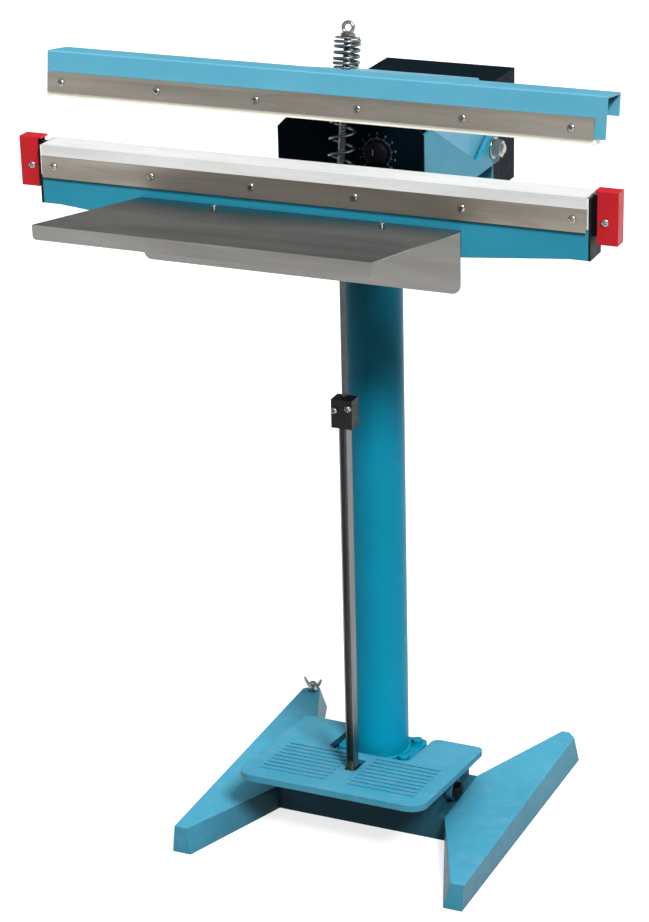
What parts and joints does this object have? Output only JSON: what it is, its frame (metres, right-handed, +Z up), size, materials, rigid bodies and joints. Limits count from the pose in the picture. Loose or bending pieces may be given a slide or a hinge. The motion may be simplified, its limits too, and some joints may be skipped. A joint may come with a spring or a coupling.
{
  "type": "impulse heat sealer",
  "caption": "Foot-operated heat sealer: long hinged sealing jaws and a sloping tray on a column, pulled shut by a pedal through a rod and springs.",
  "frame": {"origin": "on the floor, on the axis of the column, at the underside of the crossbar", "axes": "+X along the jaws to the operator's right, +Y to the rear, +Z up; the jaws are drawn open"},
  "size_m": [0.704, 0.732, 1.0028],
  "materials": {
    "stand_paint": "sky blue enamel on rough castings",
    "column_paint": "deep teal blue gloss enamel",
    "head_paint": "sky blue gloss enamel",
    "panel_black": "black satin powder coat",
    "stainless": "brushed stainless steel",
    "zinc": "bright zinc plate",
    "spring_steel": "bright spring steel",
    "aluminium_bar": "mill finish",
    "ptfe": "woven glass cloth, white coated",
    "silicone": "cream silicone rubber",
    "red_plastic": "moulded, semi-gloss",
    "black_plastic": "moulded, matt",
    "nichrome": "thin resistance ribbon",
    "brass": "turned",
    "board": "circuit board laminate",
    "lamp_red": "clear red lens",
    "core_steel": "varnished laminated iron",
    "coil_wrap": "yellow tape over copper winding"
  },
  "bodies": {
    "base": {"left_foot": "stand_paint", "right_foot": "stand_paint", "crossbar": "stand_paint", "column_flanges": "column_paint", "column": "column_paint", "flange_bolts": "zinc", "pedal_shaft": "zinc", "shaft_nuts": "zinc", "head_bracket": "head_paint", "pivot_bolt": "zinc", "pivot_nut": "zinc", "pivot_washers": "zinc", "lower_jaw_body": "head_paint", "heating_bar": "aluminium_bar", "element_ribbon": "nichrome", "ptfe_cover": "ptfe", "lower_clamp_strip": "stainless", "lower_strip_screws": "zinc", "rear_clamp_strip": "stainless", "terminal_blocks": "black_plastic", "end_cap_screws": "zinc", "left_end_cap": "red_plastic", "right_end_cap": "red_plastic", "tray": "stainless", "tray_screws": "zinc", "tray_studs": "zinc", "front_panel": "panel_black", "timer_board": "board", "switch_housing": "black_plastic", "pilot_lamp": "lamp_red", "rear_cover": "panel_black", "rear_plate": "panel_black", "cable_gland": "black_plastic", "fuse_holder": "black_plastic", "cover_screws": "zinc", "transformer_core": "core_steel", "transformer_coil": "coil_wrap", "return_spring": "spring_steel"},
    "upper_jaw": {"upper_jaw_body": "head_paint", "upper_clamp_strip": "stainless", "upper_strip_screws": "zinc", "silicone_holder": "aluminium_bar", "silicone_strip": "silicone", "upper_arm": "head_paint", "pivot_bushes": "brass"},
    "spring_rod": {"eye_rod": "zinc", "spring_seats": "zinc", "pressure_nut": "zinc", "pressure_spring": "spring_steel"},
    "pull_rod": {"pull_rod": "zinc", "rod_fork": "zinc", "fork_pin": "zinc", "rod_clamp": "zinc", "clamp_screws": "zinc", "pull_bar": "stainless"},
    "pedal": {"pedal": "stand_paint", "rod_pin": "zinc"},
    "timer_knob": {"timer_knob": "black_plastic"},
    "switch_rocker": {"switch_rocker": "black_plastic"},
    "levelling_screw": {"levelling_screw": "zinc"}
  },
  "joints": [
    {"name": "jaw_close", "type": "hinge", "parent": "base", "child": "upper_jaw", "pos_m": [0, 0.19, 0.801], "axis": [1, 0, 0], "range_deg": [0, 8], "stiffness_Nm_per_rad": 100, "springref_deg": -20.05, "deforming": ["return_spring"]},
    {"name": "rod_swing", "type": "hinge", "parent": "upper_jaw", "child": "spring_rod", "pos_m": [0, -0.066, 0.946], "axis": [1, 0, 0], "range_deg": [-2.3, 0]},
    {"name": "rod_pull", "type": "slide", "parent": "base", "child": "pull_rod", "axis": [0, 0, -1], "range_m": [0, 0.0396]},
    {"name": "pedal_press", "type": "hinge", "parent": "base", "child": "pedal", "pos_m": [0, -0.026, 0.05], "axis": [1, 0, 0], "range_deg": [0, 35.4]},
    {"name": "timer_turn", "type": "hinge", "parent": "base", "child": "timer_knob", "pos_m": [0.022, -0.046, 0.848], "axis": [0, 1, 0], "range_deg": [0, 270]},
    {"name": "switch_rock", "type": "hinge", "parent": "base", "child": "switch_rocker", "pos_m": [-0.045, -0.029, 0.816], "axis": [1, 0, 0], "range_deg": [0, 14]},
    {"name": "levelling_turn", "type": "hinge", "parent": "base", "child": "levelling_screw", "pos_m": [-0.176, 0.186, 0.03], "axis": [0, 0, 1], "continuous": true}
  ],
  "couplings": [
    {"joint": "rod_swing", "follows": "jaw_close", "ratio": -0.276},
    {"joint": "rod_pull", "follows": "jaw_close", "m_per_rad": 0.28325},
    {"joint": "pedal_press", "follows": "jaw_close", "ratio": 4.415}
  ]
}
